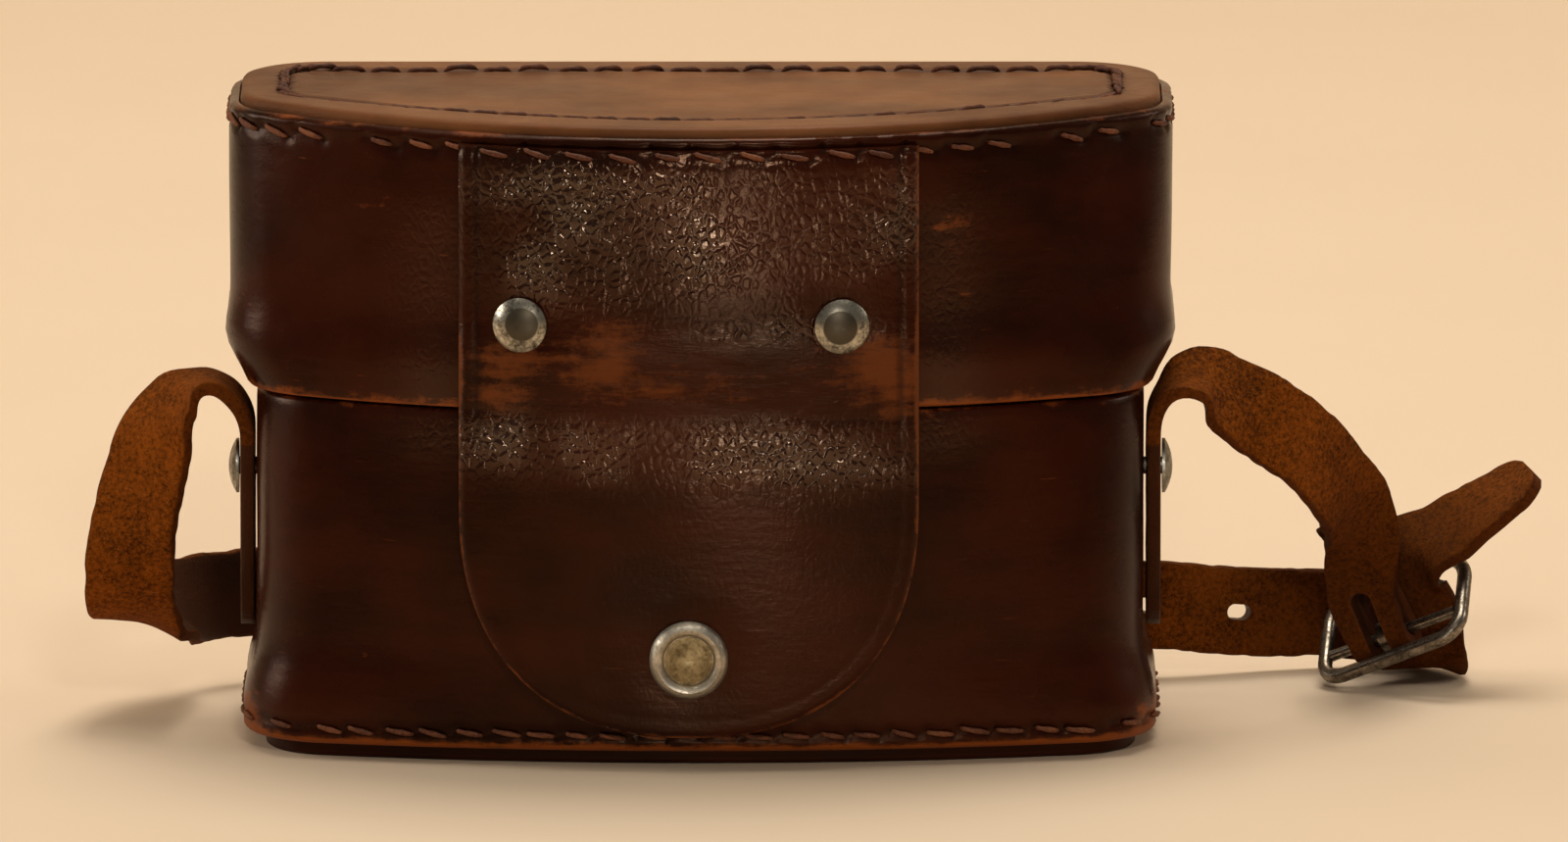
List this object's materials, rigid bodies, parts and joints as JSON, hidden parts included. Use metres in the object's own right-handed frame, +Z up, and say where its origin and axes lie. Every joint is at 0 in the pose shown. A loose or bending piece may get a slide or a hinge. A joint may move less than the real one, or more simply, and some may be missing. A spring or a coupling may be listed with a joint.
{
  "type": "leather camera case",
  "caption": "Bow-fronted leather case with a hinged lid, a snap-fastened front tongue and a buckled carrying strap.",
  "frame": {"origin": "middle of the base, on the floor", "axes": "+Z up, -Y out of the bowed front, +X to the right as the front is looked at"},
  "size_m": [0.2097, 0.0847, 0.0921],
  "materials": {
    "case_leather": "polished dark brown, worn at the edges",
    "lining": "dark short-napped lining",
    "board": "fibre board",
    "strap_leather": "orange brown suede on the flesh side",
    "nickel": "tarnished nickel",
    "worn_brass": "dull brass"
  },
  "bodies": {
    "case_body": {"body_wall": "case_leather", "base_panel": "case_leather", "base_board": "board", "body_liner": "lining", "hinge_strip_lower": "case_leather", "snap_stud": "nickel", "snap_stud_washer": "nickel", "side_rivets": "nickel", "side_rivet_washers": "nickel"},
    "lid": {"lid_wall": "case_leather", "lid_top": "case_leather", "lid_liner": "lining", "hinge_strip_upper": "case_leather", "tongue_root": "case_leather", "tongue_rivets": "nickel", "tongue_rivet_washers": "nickel"},
    "tongue": {"tongue_flap": "case_leather", "snap_cap": "nickel", "snap_cap_disc": "worn_brass", "snap_socket": "nickel"},
    "long_strap": {"strap_long": "strap_leather"},
    "short_strap": {"strap_short": "strap_leather", "fold_rivet": "nickel"},
    "buckle": {"buckle_frame": "nickel", "buckle_bar": "nickel"},
    "prong": {"buckle_prong": "nickel"}
  },
  "joints": [
    {"name": "lid_hinge", "type": "hinge", "parent": "case_body", "child": "lid", "pos_m": [0, 0.03245, 0.051], "axis": [-1, 0, 0], "range_deg": [0, 105]},
    {"name": "tongue_hinge", "type": "hinge", "parent": "lid", "child": "tongue", "pos_m": [-0.0016, -0.0334, 0.051], "axis": [-1, 0, 0], "range_deg": [0, 100]},
    {"name": "long_strap_swing", "type": "hinge", "parent": "case_body", "child": "long_strap", "pos_m": [0, -0.001, 0.0385], "axis": [1, 0, 0], "range_deg": [0, 30]},
    {"name": "short_strap_swing", "type": "hinge", "parent": "case_body", "child": "short_strap", "pos_m": [0, -0.001, 0.0385], "axis": [1, 0, 0], "range_deg": [0, 30]},
    {"name": "buckle_tilt", "type": "hinge", "parent": "short_strap", "child": "buckle", "pos_m": [0.09967, 0.02931, 0.00835], "axis": [0.8391, -0.3796, 0.3896], "range_deg": [-2, 2]},
    {"name": "prong_swing", "type": "hinge", "parent": "buckle", "child": "prong", "pos_m": [0.09967, 0.02931, 0.00835], "axis": [0.8391, -0.3796, 0.3896], "range_deg": [0, 2]}
  ],
  "couplings": [
    {"joint": "short_strap_swing", "follows": "long_strap_swing", "ratio": 1}
  ]
}
